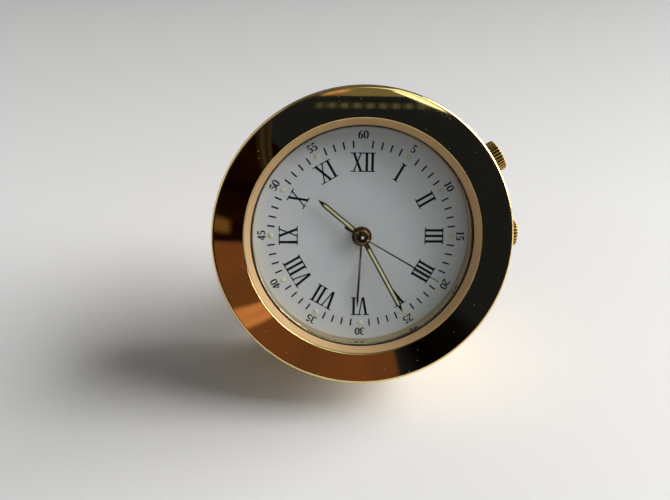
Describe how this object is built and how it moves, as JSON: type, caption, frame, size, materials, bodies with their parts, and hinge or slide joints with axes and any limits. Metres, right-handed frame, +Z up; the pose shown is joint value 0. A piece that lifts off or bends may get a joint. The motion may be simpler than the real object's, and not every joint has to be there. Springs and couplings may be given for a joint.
{
  "type": "travel alarm clock",
  "caption": "Round travel alarm clock with a wide polished gold bezel, white Roman dial, luminous hands and side crowns, leaning back on a folding strut.",
  "frame": {"origin": "middle of the small flat on the case's lowest edge, on the surface that the clock stands on", "axes": "+Z up, +X to the right as the dial is read, +Y to the back; the face leans back 30 degrees and looks along -Y and up"},
  "size_m": [0.0585, 0.0457, 0.0556],
  "materials": {
    "bezel_gold": "mirror-polished gold plate on brass",
    "satin_gold": "satin gold plate on brass",
    "crystal_glass": "clear mineral glass",
    "gasket_nylon": "dark nylon",
    "case_gold": "polished gold plate on brass",
    "back_gold": "brushed gold plate on brass",
    "dial_white": "matt white enamel with printed figures",
    "hand_gold": "polished gilt brass",
    "lume": "pale luminous paint",
    "crown_gold": "gold plate, knurled",
    "holder_plastic": "moulded",
    "plate_brass": "machined brass",
    "steel": "bright steel",
    "winding": "enamelled copper wire",
    "board_green": "circuit board",
    "chip_black": "epoxy",
    "cell_steel": "nickel-plated steel",
    "contact_brass": "spring brass",
    "seal_rubber": "black rubber"
  },
  "bodies": {
    "case": {"bezel": "bezel_gold", "crystal_ring": "satin_gold", "crystal": "crystal_glass", "crystal_gasket": "gasket_nylon", "case_band": "case_gold", "dial": "dial_white", "holder_ring": "holder_plastic", "main_plate": "plate_brass", "train_bridge": "plate_brass", "bridge_screws": "steel", "stator": "steel", "coil": "winding", "coil_core": "steel", "circuit_board": "board_green", "board_screws": "steel", "quartz_can": "steel", "chip": "chip_black", "battery": "cell_steel", "negative_contact": "contact_brass", "positive_clip": "contact_brass", "buzzer_disc": "contact_brass", "buzzer_spring": "contact_brass", "time_tube": "plate_brass", "alarm_tube": "plate_brass", "back_cover": "back_gold", "back_screws": "steel", "strut_pin": "steel"},
    "seconds": {"seconds_wheel": "steel", "second_hand": "hand_gold"},
    "minutes": {"center_wheel": "plate_brass", "cannon_pinion": "steel", "minute_hand": "hand_gold", "minute_lume": "lume"},
    "hours": {"hour_wheel": "plate_brass", "hour_hand": "hand_gold", "hour_lume": "lume"},
    "alarm": {"alarm_wheel": "plate_brass", "alarm_hand": "hand_gold"},
    "alarm_setting": {"alarm_setting_wheel": "steel"},
    "minute_work": {"minute_wheel": "plate_brass"},
    "time_setting": {"setting_wheel": "steel"},
    "third": {"third_wheel": "plate_brass"},
    "intermediate": {"intermediate_wheel": "holder_plastic"},
    "rotor": {"rotor": "steel"},
    "time_slide": {"time_lever": "steel"},
    "time_knob": {"time_stem": "steel", "time_crown": "crown_gold"},
    "alarm_slide": {"alarm_lever": "steel"},
    "alarm_knob": {"alarm_stem": "steel", "alarm_crown": "crown_gold"},
    "hatch": {"battery_hatch": "case_gold", "hatch_seal": "seal_rubber"},
    "strut": {"strut": "case_gold"}
  },
  "joints": [
    {"name": "second_spin", "type": "hinge", "parent": "case", "child": "seconds", "pos_m": [0, 0.00053, 0.02912], "axis": [0, 0.866, -0.5], "continuous": true},
    {"name": "minute_spin", "type": "hinge", "parent": "case", "child": "minutes", "pos_m": [0, 0.00053, 0.02912], "axis": [0, 0.866, -0.5], "continuous": true},
    {"name": "hour_spin", "type": "hinge", "parent": "case", "child": "hours", "pos_m": [0, 0.00053, 0.02912], "axis": [0, 0.866, -0.5], "continuous": true},
    {"name": "third_spin", "type": "hinge", "parent": "case", "child": "third", "pos_m": [0, -0.00271, 0.0235], "axis": [0, 0.866, -0.5], "continuous": true},
    {"name": "intermediate_spin", "type": "hinge", "parent": "case", "child": "intermediate", "pos_m": [0, 0.00389, 0.03494], "axis": [0, 0.866, -0.5], "continuous": true},
    {"name": "rotor_spin", "type": "hinge", "parent": "case", "child": "rotor", "pos_m": [0.00353, 0.00491, 0.0367], "axis": [0, 0.866, -0.5], "continuous": true},
    {"name": "minute_work_spin", "type": "hinge", "parent": "case", "child": "minute_work", "pos_m": [0.0044, 0.00053, 0.02912], "axis": [0, 0.866, -0.5], "continuous": true},
    {"name": "time_setting_spin", "type": "hinge", "parent": "case", "child": "time_setting", "pos_m": [0.00946, 0.00053, 0.02912], "axis": [0, 0.866, -0.5], "continuous": true},
    {"name": "alarm_spin", "type": "hinge", "parent": "case", "child": "alarm", "pos_m": [0, 0.00053, 0.02912], "axis": [0, 0.866, -0.5], "continuous": true},
    {"name": "alarm_setting_spin", "type": "hinge", "parent": "case", "child": "alarm_setting", "pos_m": [0.003, 0.00313, 0.03362], "axis": [0, 0.866, -0.5], "continuous": true},
    {"name": "time_crown_pull", "type": "slide", "parent": "case", "child": "time_slide", "axis": [1, 0, 0], "range_m": [0, 0.0012]},
    {"name": "time_crown_spin", "type": "hinge", "parent": "time_slide", "child": "time_knob", "pos_m": [0, 0.00378, 0.02724], "axis": [1, 0, 0], "continuous": true},
    {"name": "alarm_crown_pull", "type": "slide", "parent": "case", "child": "alarm_slide", "axis": [0.866, 0.25, 0.433], "range_m": [0, 0.0012]},
    {"name": "alarm_crown_spin", "type": "hinge", "parent": "alarm_slide", "child": "alarm_knob", "pos_m": [0, 0.00378, 0.02724], "axis": [0.866, 0.25, 0.433], "continuous": true},
    {"name": "hatch_turn", "type": "hinge", "parent": "case", "child": "hatch", "pos_m": [-0.0153, 0.01352, 0.02162], "axis": [0, 0.866, -0.5], "range_deg": [0, 60]},
    {"name": "strut_fold", "type": "hinge", "parent": "case", "child": "strut", "pos_m": [0, 0.01864, 0.03309], "axis": [1, 0, 0], "range_deg": [-43.5, 0]}
  ],
  "couplings": [
    {"joint": "third_spin", "follows": "second_spin", "ratio": -0.125},
    {"joint": "minute_spin", "follows": "second_spin", "ratio": 0.016667},
    {"joint": "hour_spin", "follows": "second_spin", "ratio": 0.0013889},
    {"joint": "minute_work_spin", "follows": "second_spin", "ratio": -0.0055556},
    {"joint": "time_setting_spin", "follows": "second_spin", "ratio": 0.010417},
    {"joint": "intermediate_spin", "follows": "second_spin", "ratio": -6},
    {"joint": "rotor_spin", "follows": "second_spin", "ratio": 30},
    {"joint": "alarm_setting_spin", "follows": "alarm_spin", "ratio": -2}
  ]
}
